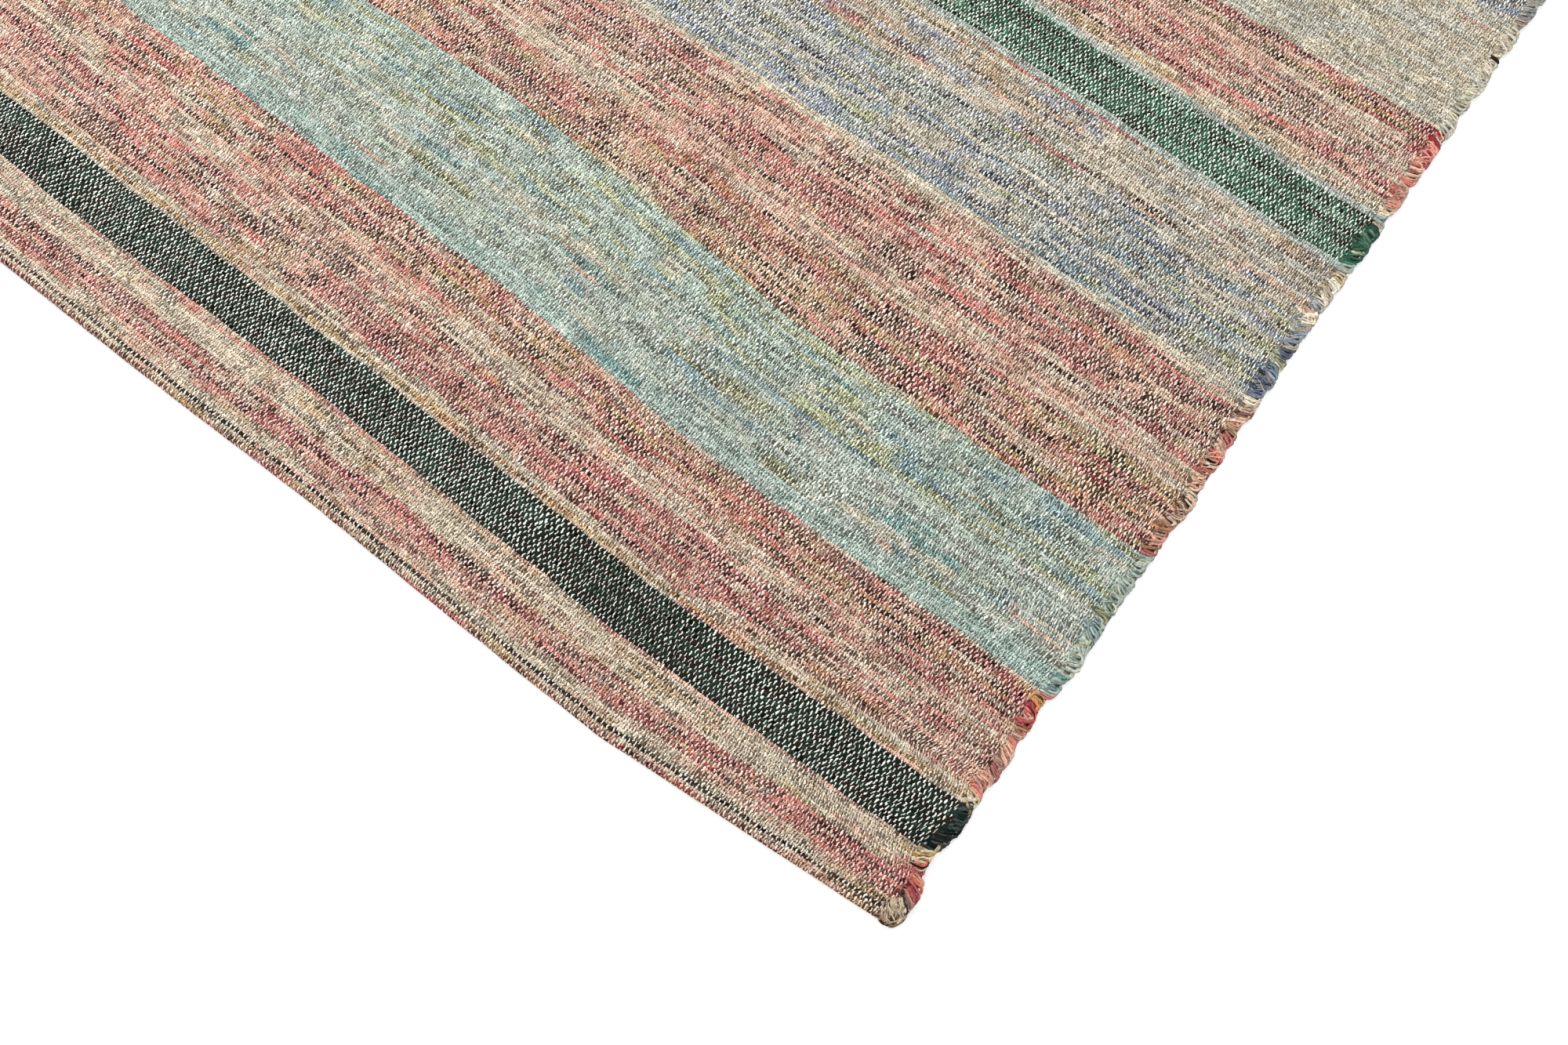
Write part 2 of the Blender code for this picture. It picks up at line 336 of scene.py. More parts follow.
def run_lights(dice):
    """How light a pick is at each column, in runs."""
    lights = np.empty(len(COLUMNS))
    for run in runs(LIGHT_RUN, LIGHT_SPREAD, dice):
        lights[run] = dice.uniform(DARKEST, LIGHTEST)
    return lights[:, None]


def lay_weft(bands, run_length, depth, dice):
    """All picks of a stripe, from its near side to its far side."""
    picks = []
    for count, band in bands:
        below = None
        for _ in range(count):
            below = lay_pick(band, run_length, depth, below, dice)
            picks.append(below)
    return np.array(picks)


def softened(picks):
    """The picks with their colours running into each other over a column."""
    padded = np.pad(picks, ((0, 0), (1, 1), (0, 0)), "edge")
    return 0.2 * padded[:, :-2] + 0.6 * picks + 0.2 * padded[:, 2:]


def stripe_yarns(name, bands, dice):
    """Colour and fluff of a stripe's picks at each column, and those of their flecks."""
    yarn = lay_weft(bands, RUN, RUN_DEPTH, dice)
    lights = np.array([run_lights(dice) for _ in yarn])
    yarn[:, :, :3] *= 1 + (lights - 1) * (1 - EVENED * np.clip(yarn[:, :, 3:], 0, EVENED_UP_TO))
    flecks = lay_weft(bands, FLECK_RUN, FLECK_DEPTH, dice)
    for first, last, start, names in PATCHES.get(name, ()):
        for pick in range(first, last + 1):
            begin = start + dice.uniform(*PATCH_STRAY)
            colour = YARN_LINEAR[dice.choice(names)] * dice.uniform(*PATCH_SHADES)
            yarn[pick, COLUMNS > begin, :3] = colour
    return softened(yarn), flecks


# --- Sheets ---

# Where a sheet's strips lie in its texture map, and its two sides in the margin beside them
STRIP_LEFT, STRIP_WIDTH = 0.002, 0.986
STRIP_LOW, STRIP_HEIGHT = 0.004, 0.992
SIDE_LEFT, SIDE_WIDTH = 0.991, 0.007
SIDE_LOW, SIDE_HEIGHT = 0.02, 0.96
BACK_ROOM = 0.35  # share of its own length that the back gets there
RING_OVER_FACE = 1.4  # length of face and back together there, over the face's


def rib_rows(count):
    """(pick, place in picks, share of RIB_UP) of each row of points on the face of so many picks."""
    rows = [(0, 0.0, 0.0)]
    rows += [(pick, pick + share, crest) for pick in range(count) for share, crest in RIB]
    return rows + [(count - 1, float(count), 0.0)]


def field_row(y, up):
    """Face and back points of a row that runs over the rug at y, its ribs up from the groove."""
    x = column_x(COLUMNS, y)
    y = y + wander(x, y)
    height = face_height(x, y)
    face = np.stack([x, y, height - DROPS + up - RIB_UP], 1)
    return face, np.stack([x, y, np.maximum(height - CLOTH - RIPPLE_UP, 0)], 1)


def hem_row(end, depth, up):
    """Face and back points of a row in the hem, depth along the cloth past the top of its fold."""
    towards = 1 if end == "near" else -1
    angle = min(depth / FOLD_RADIUS, math.pi)
    inward = FOLD_RADIUS * (1 - math.sin(angle)) + max(0.0, depth - FOLD_ARC)
    out = np.array([-math.sin(angle) * towards, math.cos(angle)])
    fold = fold_y(end, COLUMNS)
    past_end = np.maximum(np.abs(COLUMNS) - HEM_END, 0) * np.sign(COLUMNS)
    x = column_x(COLUMNS - HEM_DRAWN * past_end, fold)
    middle = np.stack([fold + towards * inward, np.full(len(x), FOLD_RADIUS * (1 + math.cos(angle)))], 1)
    face = middle + out * (up - RIB_UP)[:, None]
    back = middle - out * CLOTH
    return np.column_stack([x, face]), np.column_stack([x, back])


def lumps(count, dice):
    """How plump each of so many picks is at each column."""
    marks = np.linspace(-HALF_WIDTH, HALF_WIDTH, PLUMP_MARKS)
    plump = [[dice.uniform(*PLUMP) for _ in marks] for _ in range(count)]
    return np.array([np.interp(COLUMNS, marks, pick) for pick in plump])


def hem_depth(picks):
    """Distance along the cloth past the top of the fold, after so many picks."""
    if picks < PICKS_ROUND:
        return FOLD_ARC * picks / PICKS_ROUND
    return FOLD_ARC + (HEM_REACH - FOLD_ARC) * (picks - PICKS_ROUND) / PICKS_UNDER


def stripe_rows(count, plump, near_y, far_y, near_fold, far_fold):
    """Rows of a stripe: pick, place in picks, face points and back points, from near to far.

    near_fold and far_fold are the picks that lie on a hem's fold and under it, 0 in a field stripe.
    """
    rows = []
    top = count - near_fold - far_fold
    for pick, place, crest in rib_rows(count):
        up = RIB_UP * crest * plump[pick]
        if place < near_fold:
            points = hem_row("near", hem_depth(near_fold - place), up)
        elif place > near_fold + top:
            points = hem_row("far", hem_depth(place - near_fold - top), up)
        else:
            points = field_row(near_y + (far_y - near_y) * ((place - near_fold) / top), up)
        rows.append((pick, place, *points))
    return rows


def unrolled(ring, back_from, strips):
    """UV of a closed ring of rows, cut into strips that fill the unit square, for each corner of its quads.

    The rows from back_from on are the back, which takes less room.
    """
    along = np.linalg.norm(np.diff(ring, axis=0, append=ring[:1]), axis=2).mean(axis=1)
    along[back_from:-1] *= BACK_ROOM
    v = np.concatenate([[0], np.cumsum(along) / along.sum()])
    last = ring.shape[1] - 1
    column = np.arange(last)
    strip = column * strips // last
    first = np.array([np.searchsorted(strip, s) for s in range(strips + 1)])
    u_left = (column - first[strip]) / (first[strip + 1] - first[strip])
    u_right = (column + 1 - first[strip]) / (first[strip + 1] - first[strip])
    low, high = v[:-1], v[1:]
    corners = []
    for u, row_v in ((u_left, low), (u_right, low), (u_right, high), (u_left, high)):
        across = np.broadcast_to(STRIP_LEFT + STRIP_WIDTH * u, (len(row_v), last))
        up = (strip[None, :] + STRIP_LOW + STRIP_HEIGHT * row_v[:, None]) / strips
        corners.append(np.stack([across, up], 2))
    return np.stack(corners, 2).reshape(-1, 2)


def put_uv(mesh, name, corners):
    layer = mesh.uv_layers.new(name=name)
    layer.data.foreach_set("uv", np.asarray(corners, np.float32).ravel())


def put_points(mesh, name, kind, values):
    attribute = mesh.attributes.new(name, kind, "POINT")
    attribute.data.foreach_set("vector" if kind == "FLOAT_VECTOR" else "value", values.ravel())


def sheet_mesh(name, rows, yarn, flecks, first_pick):
    """A closed mesh of a stripe's rows: its face, its back, both ends and both sides."""
    total = len(rows)
    back = [row for row in range(total) if row % BACK_STEP == 0 or row == total - 1]
    ring = np.array([rows[row][2] for row in range(total)] + [rows[row][3] for row in reversed(back)])
    order = list(range(total)) + back[::-1]
    count, columns = ring.shape[:2]
    index = np.arange(count * columns).reshape(count, columns)
    ahead = np.roll(index, -1, axis=0)
    quads = np.stack([index[:, :-1], index[:, 1:], ahead[:, 1:], ahead[:, :-1]], 2).reshape(-1, 4)
    ends = [index[::-1, 0].tolist(), index[:, -1].tolist()]
    mesh = bpy.data.meshes.new(name)
    mesh.from_pydata(ring.reshape(-1, 3).tolist(), [], quads.tolist() + ends)

    picks = np.array([rows[row][0] for row in order])
    put_points(mesh, "yarn", "FLOAT_VECTOR", yarn[picks][:, :, :3])
    put_points(mesh, "fleck", "FLOAT_VECTOR", flecks[picks][:, :, :3])
    put_points(mesh, "fluff", "FLOAT", yarn[picks][:, :, 3])

    # On the back the warp shows over the other picks, so its ends are counted one further on
    is_back = np.array([False] * total + [True] * len(back))
    ends_along = np.broadcast_to(COLUMNS / END, (count, columns)) + is_back[:, None]
    places = first_pick + np.array([rows[row][1] for row in order])
    weave = np.stack([ends_along, np.broadcast_to(places[:, None], (count, columns))], 2).reshape(-1, 2)
    corners = np.concatenate([quads.ravel(), *ends])
    put_uv(mesh, "weave", weave[corners])
    strips = max(1, round(math.sqrt(2 * HALF_WIDTH / (len(yarn) * PICK * RING_OVER_FACE))))
    side_uv = [end_uv(ring[:, column], side) for side, column in ((1, 0), (0, -1))]
    side_uv[0] = side_uv[0][::-1]
    put_uv(mesh, "OFBake", np.concatenate([unrolled(ring, total, strips), *side_uv]))
    mesh.shade_smooth()
    mesh.set_sharp_from_angle(angle=math.radians(60))
    return mesh


def end_uv(outline, half):
    """UV of a side's outline, laid flat in the margin beside the strips."""
    y = outline[:, 1] - outline[:, 1].min()
    z = outline[:, 2] - outline[:, 2].min()
    across = SIDE_LEFT + SIDE_WIDTH * z / z.max()
    return np.stack([across, (half + SIDE_LOW + SIDE_HEIGHT * y / y.max()) / 2], 1)


# --- Turns of the weft at the selvedges ---

# Strands side by side in a rag yarn: their offsets from its middle, and half the width of each
RAGS = (
    ((0.0,), 0.0019),
    ((-0.0010, 0.0010), 0.00115),
    ((-0.0010, 0.0010), 0.00105),
    ((-0.0013, 0.0, 0.0013), 0.00078),
)
FLUFFY_TURNS = 0.35  # yarns fluffier than this turn as the first two of these
STRAND_UP = 0.00075  # half the thickness of a strand, up from the cloth
STRAND_SIDES = 6
STRAND_TAPER = 0.0030  # length in which its ends get thinner
SINK = 0.0014  # how deep in the cloth its ends lie
SUNK_HALFWAY = 0.0003  # and how deep it lies halfway to its last end
LOWEST = 0.0010  # height of a strand at the very edge
EDGE_ROUND = 0.0034  # width in which the edge rounds off
TURN_LEG = 0.0135  # from the selvedge to where a strand comes out of the cloth, at least
LEG_SPREAD = 0.006
TURN_BEND = (0.0020, 0.0055)  # radius in which a strand turns along the selvedge
BEND_ANGLES = (0, 40, 75)  # degrees round the bend where it has points
TURN_RUN = (0.0030, 0.0065)  # how far it then runs along it
TUCK_IN = 0.0016  # how far its end lies further in
TURN_SLANT = 0.0055  # how far the last strands of a group run along Y on their way out
GROUP_INSIDE = 0.0016  # how much further in a group may turn, and its first and last strands again
TURNS_TOGETHER = (2, 3, 4, 5, 6, 8)  # picks whose strands turn the same way, like a fan
# How far a strand strays: along the cloth, up from it, in its slant and in how far inside it turns
STRAY_ALONG = 0.0004
STRAY_UP = (-0.0004, 0.0003)
STRAY_SLANT = 0.0007
STRAY_INSIDE = 0.0003
STRAND_PLUMP = (0.85, 1.15)
STRAND_SHADES = (0.70, 1.25)
ODD_STRANDS = (("ecru", 0.03), ("black brown", 0.012))  # strands of another yarn, and how often
ODD_SHADES = (0.7, 1.0)


def selvedge_inset(side, y):
    """How far the outermost turns at y lie inside HALF_WIDTH, in scallops but beside the hems."""
    corner = OUT[side] * HALF_WIDTH
    first = fold_y("near", corner) + FIELD_START
    last = fold_y("far", corner) - FIELD_START
    if not 0 < (y - first) / (last - first) < 1:
        return drawn_in(side, y) + HEM_INSET
    sizes = 1 + TURN_UNEVEN * np.sin(TURN_BEAT[side] * np.arange(FIELD_TURNS))
    notches = first + (last - first) * np.concatenate([[0], np.cumsum(sizes) / sizes.sum()])
    turn = int(np.searchsorted(notches, y, side="right")) - 1
    along = (y - notches[turn]) / (notches[turn + 1] - notches[turn])
    return drawn_in(side, y) + TURN_DEPTH * (1 - np.interp(along, *SHOULDERS))


def strand_turned(side, y, z, nest, slant, towards, dice):
    """Points along a strand that leaves a pick, turns along the selvedge and goes under the next ones.

    nest is how far inside the selvedge it turns, slant how far along Y it runs on its way out, and towards
    is 1 if it turns to the far hem, or -1.
    """
    bend = dice.uniform(*TURN_BEND)
    start = HALF_WIDTH - drawn_in(side, y) - TURN_LEG - dice.uniform(0, LEG_SPREAD)
    corner = HALF_WIDTH - selvedge_inset(side, y + slant + towards * bend) - nest - bend
    places = []
    for share, sunk in ((0.0, SINK), (0.5, 0.0)):
        places.append((start + (corner - start) * share, y + slant * share * share, sunk))
    for turn in BEND_ANGLES:
        out, along = math.sin(math.radians(turn)), 1 - math.cos(math.radians(turn))
        places.append((corner + bend * out, y + slant + towards * bend * along, 0.0))
    turned_y = places[-1][1]
    run = towards * dice.uniform(*TURN_RUN)
    for share, sunk in ((0.5, SUNK_HALFWAY), (1.0, SINK)):
        along = turned_y + run * share
        x = HALF_WIDTH - selvedge_inset(side, along) - nest - TUCK_IN * share * share
        places.append((x, along, sunk))
    points = []
    for x, along, sunk in places:
        from_edge = HALF_WIDTH - selvedge_inset(side, along) - x
        rounded = math.sqrt(1 - min(1.0, max(0.0, 1 - from_edge / EDGE_ROUND)) ** 2)
        points.append((x, along, max(LOWEST, LOWEST + (z - LOWEST) * rounded - sunk)))
    return np.array(points)


def travelled(line):
    """Distance along a line at each of its points."""
    return np.concatenate([[0], np.cumsum(np.linalg.norm(np.diff(line, axis=0), axis=1))])


def rings_round(line, sides, sideways, up):
    """Rings of points round a line. sideways and up reach from it to the tube's flank and top."""
    turns = (2 * math.pi * np.arange(sides) / sides)[None, :, None]
    return line[:, None, :] + np.sin(turns) * sideways[:, None, :] + np.cos(turns) * up[:, None, :]


def facing_out(rings, outwards):
    """A tube's rings in the order that keeps its faces outwards where these signs mirror it."""
    return rings[:, ::-1] if outwards[0] * outwards[1] < 0 else rings


def strand_tube(line, half, plump):
    """Rings of points round a strand of this half width, thinner towards its ends."""
    along = np.gradient(line, axis=0)
    along /= np.linalg.norm(along, axis=1)[:, None]
    sideways = np.cross(along, (0, 0, 1))
    sideways /= np.linalg.norm(sideways, axis=1)[:, None]
    up = np.cross(sideways, along)
    run = travelled(line)
    from_end = np.minimum(run, run[-1] - run)
    size = plump * (0.55 + 0.45 * ease(np.clip(from_end / STRAND_TAPER, 0, 1)))[:, None]
    return rings_round(line, STRAND_SIDES, size * half * sideways, size * STRAND_UP * up)


def strand_colour(yarn, fleck, dice):
    """The colour of one strand of a yarn."""
    for name, chance in ODD_STRANDS:
        if dice.random() < chance:
            return YARN_LINEAR[name] * dice.uniform(*ODD_SHADES)
    colour = (yarn + (fleck - yarn) * dice.uniform(0, 0.7)) * dice.uniform(*STRAND_SHADES)
    return colour + 0.06 * dice.random() ** 3  # a few are paler


def selvedge_mesh(side, picks, dice):
    """All turns of one selvedge as one mesh. picks are the (y, z, yarn, fleck, fluff) where each ends."""
    outwards = np.array((OUT[side], 1, 1))
    tubes, colours = [], []
    start = 0
    while start < len(picks):
        group = picks[start:start + dice.choice(TURNS_TOGETHER)]
        towards = dice.choice((-1, 1))
        strands = []
        for y, z, yarn, fleck, fluff in group if towards > 0 else group[::-1]:
            offsets, half = dice.choice(RAGS[:2] if fluff > FLUFFY_TURNS else RAGS)
            strands += [(y + offset * towards, z, yarn, fleck, half) for offset in offsets]
        inside = dice.uniform(0, GROUP_INSIDE)
        for number, (y, z, yarn, fleck, half) in enumerate(strands):
            place = y + dice.uniform(-STRAY_ALONG, STRAY_ALONG)
            level = z + dice.uniform(*STRAY_UP)
            slant = towards * TURN_SLANT * number / len(strands) + dice.gauss(0, STRAY_SLANT)
            from_middle = abs(2 * (number + 0.5) / len(strands) - 1)
            nest = half * 0.9 + inside + GROUP_INSIDE * from_middle ** 2 + abs(dice.gauss(0, STRAY_INSIDE))
            line = strand_turned(side, place, level, nest, slant, towards, dice)
            tube = strand_tube(line * outwards, half, dice.uniform(*STRAND_PLUMP))
            tubes.append(facing_out(tube, outwards))
            colours.append(np.tile(strand_colour(yarn, fleck, dice), (len(line), 1)))
        start += len(group)
    return tube_mesh(f"selvedge_{side}", tubes, colours)


# The rounded end of each rolled hem: a mound of brown cloth under short strands
KNUCKLE_MIDDLE = (0.0105, 0.0103)  # in from the selvedge and from the fold
KNUCKLE_REACH = (0.0111, 0.0129)  # from there to its outline, along X and along Y
KNUCKLE_EDGE = 0.98  # share of its reach that its strands stay within
KNUCKLE_FOOT, KNUCKLE_TOP = 0.0012, 0.0122  # its height at its outline and in its middle
KNUCKLE_PICKS = 4  # picks that end under it
MOUND_SHARES = (0.95, 0.85, 0.68, 0.45, 0.15)  # of its reach, where the mound has rings of points
MOUND_SIDES = 20
MOUND_SUNK = 0.0007  # how far it lies under the middles of the strands
STROKES = 132  # short strands
COMBED, COMBED_OF = 7, 12  # so many of so many run to the corner, and the others round the outer side
STROKE_STEPS = 7
STROKE_HALF = 0.00070  # half the width of a strand
STROKE_LENGTH = (0.004, 0.008)
STROKE_SWEEP = (0.4, 0.9)  # radians that one runs round the outer side
STROKE_SPREAD = 110  # degrees to each side in which they start
HEADING_SPREAD = 24  # degrees
OUTER_SHARES = (0.66, 0.97)  # of the reach, where the outer ones lie
STROKE_PLUMP = (0.85, 1.20)
STROKE_SHADES = (0.75, 1.15)
COMBED_YARNS = ("cream", "ecru", "cream", "tan", "cream", "ecru", "pale pink")
OUTER_YARNS = ("tan", "brown", "ecru", "tan", "brown", "cream")


def knuckle_mesh(end, side, dice):
    """The rolled end of a hem: a mound with short strands lying on it."""
    outwards = np.array((OUT[side], -1 if end == "near" else 1, 1))
    corner = OUT[side] * HALF_WIDTH
    fold = fold_y(end, corner)
    in_x, in_y = KNUCKLE_MIDDLE
    middle = np.array((HALF_WIDTH - HEM_INSET - drawn_in(side, fold) - in_x, abs(fold) - in_y))

    def on_mound(share, turn, x=0.0, y=0.0):
        """The point at a share of the mound's reach and an angle round it, moved on by x and y."""
        off = np.array(KNUCKLE_REACH) * share * (math.cos(turn), math.sin(turn)) + (x, y)
        share = float(np.linalg.norm(off / KNUCKLE_REACH))
        off *= min(1.0, KNUCKLE_EDGE / max(share, 0.01))
        share = min(KNUCKLE_EDGE, share)
        height = KNUCKLE_FOOT + (KNUCKLE_TOP - KNUCKLE_FOOT) * math.sqrt(1 - share * share)
        return (*(middle + off), height)

    turns = np.linspace(0, 2 * math.pi, MOUND_SIDES, endpoint=False)
    mound = np.array([[on_mound(share, turn) for turn in turns] for share in MOUND_SHARES])
    mound = (mound - (0, 0, MOUND_SUNK)) * outwards
    tubes = [facing_out(mound, outwards)]
    colours = [np.tile(YARN_LINEAR["brown"] * 1.4, (len(mound), 1))]
    for number in range(STROKES):
        combed = number % COMBED_OF < COMBED
        first = math.radians((225 if combed else 45) + dice.uniform(-STROKE_SPREAD, STROKE_SPREAD))
        share = 0.85 * math.sqrt(dice.random()) if combed else dice.uniform(*OUTER_SHARES)
        heading = math.radians(45 + dice.gauss(0, HEADING_SPREAD))
        length = dice.uniform(*STROKE_LENGTH)
        sweep = dice.choice((-1, 1)) * dice.uniform(*STROKE_SWEEP)
        points = []
        for step in range(STROKE_STEPS):
            along = step / (STROKE_STEPS - 1)
            if combed:
                run = length * along
                points.append(on_mound(share, first, run * math.cos(heading), run * math.sin(heading)))
            else:
                points.append(on_mound(share, first + sweep * along))
        tube = strand_tube(np.array(points) * outwards, STROKE_HALF, dice.uniform(*STROKE_PLUMP))
        tubes.append(facing_out(tube, outwards))
        colour = YARN_LINEAR[dice.choice(COMBED_YARNS if combed else OUTER_YARNS)]
        colours.append(np.tile(colour * dice.uniform(*STROKE_SHADES), (STROKE_STEPS, 1)))
    return tube_mesh(f"corner_{end}_{side}", tubes, colours)


# --- Loose fibres ---

FIBRES = 620
FIBRE_AREA = (0.585, 0.87)  # half the width and half the length of where they start
FIBRE_LENGTH = (0.006, 0.022)
FIBRE_CURL = 0.5  # radians, scales how much it bends at each step
FIBRE_HALF = 0.00014
FIBRE_STEPS = 7
FIBRE_LOW, FIBRE_ARCH = 0.0001, 0.0011  # how high over the cloth it lies, and how far it arches up
FIBRE_YARNS = ("cream", "cream", "silver", "pale pink", "ecru")


def loose_fibre(x, y, length, dice):
    """Points along a fibre that lies loose on the cloth from x, y on."""
    heading = dice.uniform(0, 2 * math.pi)
    bend = dice.uniform(-FIBRE_CURL, FIBRE_CURL)
    stride = length / (FIBRE_STEPS - 1)
    points = []
    for step in range(FIBRE_STEPS):
        share = step / (FIBRE_STEPS - 1)
        lift = FIBRE_LOW + FIBRE_ARCH * math.sin(math.pi * min(share * 1.3, 1))
        points.append((x, y, float(face_height(x, y)) + lift))
        bend += dice.uniform(-FIBRE_CURL, FIBRE_CURL) * 0.5
        heading += bend
        x += stride * math.cos(heading)
        y += stride * math.sin(heading)
    return np.array(points)


def fibre_tube(line):
    """A closed three-sided tube round a fibre."""
    along = np.gradient(line, axis=0)
    along /= np.linalg.norm(along, axis=1)[:, None]
    sideways = np.cross(along, (0, 0, 1))
    up = np.cross(sideways, along)
    return rings_round(line, 3, FIBRE_HALF * sideways, FIBRE_HALF * up)


def fibres_mesh(dice):
    """Fine pale fibres all over the rug."""
    tubes, colours = [], []
    for _ in range(FIBRES):
        x, y = [dice.uniform(-reach, reach) for reach in FIBRE_AREA]
        tubes.append(fibre_tube(loose_fibre(x, y, dice.uniform(*FIBRE_LENGTH), dice)))
        colour = YARN_LINEAR[dice.choice(FIBRE_YARNS)] * 1.1
        colours.append(np.tile(colour, (FIBRE_STEPS, 1)))
    return tube_mesh("loose_fibres", tubes, colours)


# --- Strands and fibres as meshes ---

TUBES_APART = 50  # between the patterns of two tubes, in millimetres
CAPS = ((0.1, 0.93), (0.3, 0.93))  # middles of a tube's two ends in its cell of the texture map
CAP_RADIUS = 0.03


def tube_mesh(name, tubes, colours):
    """Closed tubes as one mesh, each unrolled into a cell of its own. colours has one for each ring."""
    points, faces, weave, bake, tints = [], [], [], [], []
    across = max(1, round(math.sqrt(len(tubes) * 0.4)))
    rows = math.ceil(len(tubes) / across)
    for number, (rings, tint) in enumerate(zip(tubes, colours)):
        base = len(points)
        count, sides = rings.shape[:2]
        points += rings.reshape(-1, 3).tolist()
        tints += np.repeat(tint, sides, axis=0).tolist()
        run = travelled(rings.mean(axis=1))
        cell = np.array((number % across / across, number // across / rows))
        for ring in range(count - 1):
            for s in range(sides):
                t = (s + 1) % sides
                here, ahead = base + ring * sides, base + (ring + 1) * sides
                faces.append((here + s, here + t, ahead + t, ahead + s))
                for r, k in ((ring, s), (ring, s + 1), (ring + 1, s + 1), (ring + 1, s)):
                    weave.append((run[r] / MM + TUBES_APART * number, k / sides))
                    inside = np.array((0.04 + 0.92 * run[r] / run[-1], 0.06 + 0.80 * k / sides))
                    bake.append(cell + inside / (across, rows))
        for cap, ring, order in zip(CAPS, (0, count - 1), (range(sides - 1, -1, -1), range(sides))):
            faces.append([base + ring * sides + s for s in order])
            for s in order:
                turn = 2 * math.pi * s / sides
                weave.append((run[ring] / MM + TUBES_APART * number, s / sides))
                inside = np.array(cap) + CAP_RADIUS * np.array((math.cos(turn), math.sin(turn)))
                bake.append(cell + inside / (across, rows))
    mesh = bpy.data.meshes.new(name)
    mesh.from_pydata(points, [], faces)
    put_points(mesh, "yarn", "FLOAT_VECTOR", np.array(tints))
    put_uv(mesh, "weave", weave)
    put_uv(mesh, "OFBake", bake)
    mesh.shade_smooth()
    mesh.set_sharp_from_angle(angle=math.radians(80))
    return mesh


# --- Materials ---


class Value:
    """A node's output in a sum. Plain arithmetic on it adds Math nodes."""

    def __init__(self, finish, socket):
        self.finish = finish
        self.socket = socket

    def math(self, operation, *others):
        return self.finish.add("Math", {"operation": operation}, [self, *others])

    def clamped(self):
        """The same number, kept from 0 to 1."""
        return self.math("MAXIMUM", 0.0).math("MINIMUM", 1.0)

    def __add__(self, other):
        return self.math("ADD", other)

    def __sub__(self, other):
        return self.math("SUBTRACT", other)

    def __rsub__(self, other):
        return self.math("MULTIPLY", -1) + other

    def __mul__(self, other):
        return self.math("MULTIPLY", other)

    def __truediv__(self, other):
        return self.math("DIVIDE", other)

    __radd__ = __add__
    __rmul__ = __mul__


class Finish:
    """A material, with its nodes added by name."""

    def __init__(self, name):
        self.material = bpy.data.materials.new(name)
        self.material.use_nodes = True
        self.tree = self.material.node_tree
        self.surface = self.tree.nodes["Principled BSDF"]

    def add(self, kind, settings=None, inputs=(), output=0):
        """Adds a shader node: its settings first, then the values or links of its sockets."""
        node = self.tree.nodes.new("ShaderNode" + kind)
        for name, value in (settings or {}).items():
            setattr(node, name, value)
        for socket, value in inputs.items() if isinstance(inputs, dict) else enumerate(inputs):
            self.join(node.inputs[socket], value)
        return Value(self, node.outputs[output])

    def join(self, socket, value):
        if isinstance(value, Value):
            self.tree.links.new(value.socket, socket)
        else:
            socket.default_value = value

    def set(self, **sockets):
        """Sets the shader's own sockets, with underscores for the spaces in their names."""
        for name, value in sockets.items():
            self.join(self.surface.inputs[name.replace("_", " ")], value)

    def uv(self, name):
        """The two coordinates of a UV map."""
        place = self.add("UVMap", {"uv_map": name})
        return (
            self.add("SeparateXYZ", None, [place], 0),
            self.add("SeparateXYZ", None, [place], 1),
        )

    def attribute(self, name, output="Vector"):
        return self.add("Attribute", {"attribute_name": name}, (), output)

    def vector(self, x, y, z):
        return self.add("CombineXYZ", None, [x, y, z])

    def parts(self, colour):
        """The three channels of a colour."""
        return [self.add("SeparateColor", None, [colour], channel) for channel in range(3)]

    def chances(self, x, y, z):
        """Three even random numbers for each whole-numbered place."""
        inputs = {"Vector": self.vector(x, y, z)}
        return self.parts(self.add("TexWhiteNoise", None, inputs, "Color"))

    def noise(self, x, y, z, detail=1.0, output="Fac"):
        """Soft noise at a place, where each z has a pattern of its own over x and y."""
        inputs = {"Vector": self.vector(x, y, z), "Scale": 1.0, "Detail": detail}
        return self.add("TexNoise", None, inputs, output)

    def step(self, value, start, end):
        """0 before start and 1 after end, smooth between them."""
        settings = {"interpolation_type": "SMOOTHSTEP"}
        return self.add("MapRange", settings, {0: value, 1: start, 2: end, 3: 0.0, 4: 1.0})

    def mix(self, share, first, second, blend="MIX"):
        """A mix of two colours."""
        settings = {"data_type": "RGBA", "blend_type": blend}
        return self.add("Mix", settings, {0: share, 6: first, 7: second}, 2)

    def shaded(self, colour, light):
        """A colour times a number."""
        grey = self.add("CombineColor", None, [light, light, light])
        return self.mix(1.0, colour, grey, "MULTIPLY")

    def bump(self, height, strength, distance):
        inputs = {"Strength": strength, "Distance": distance, "Height": height}
        return self.add("Bump", None, inputs)


WARP = (0.985, 0.950, 0.850, 1.0)
WARP_COOL = (0.860, 0.930, 0.840, 1.0)  # on dark weft
WARP_SHADE = (0.640, 0.580, 0.480, 1.0)
PAINTED_GAP_SHADE = (0.018, 0.011, 0.008, 1.0)  # painted shade down in the gaps between the threads
TICK_HALF, TICK_LENGTH = 0.33, 0.60  # of a warp end where it shows, in ends and in picks
BLOB_HALF, BLOB_LENGTH = 0.80, 0.62  # of the weft where it shows


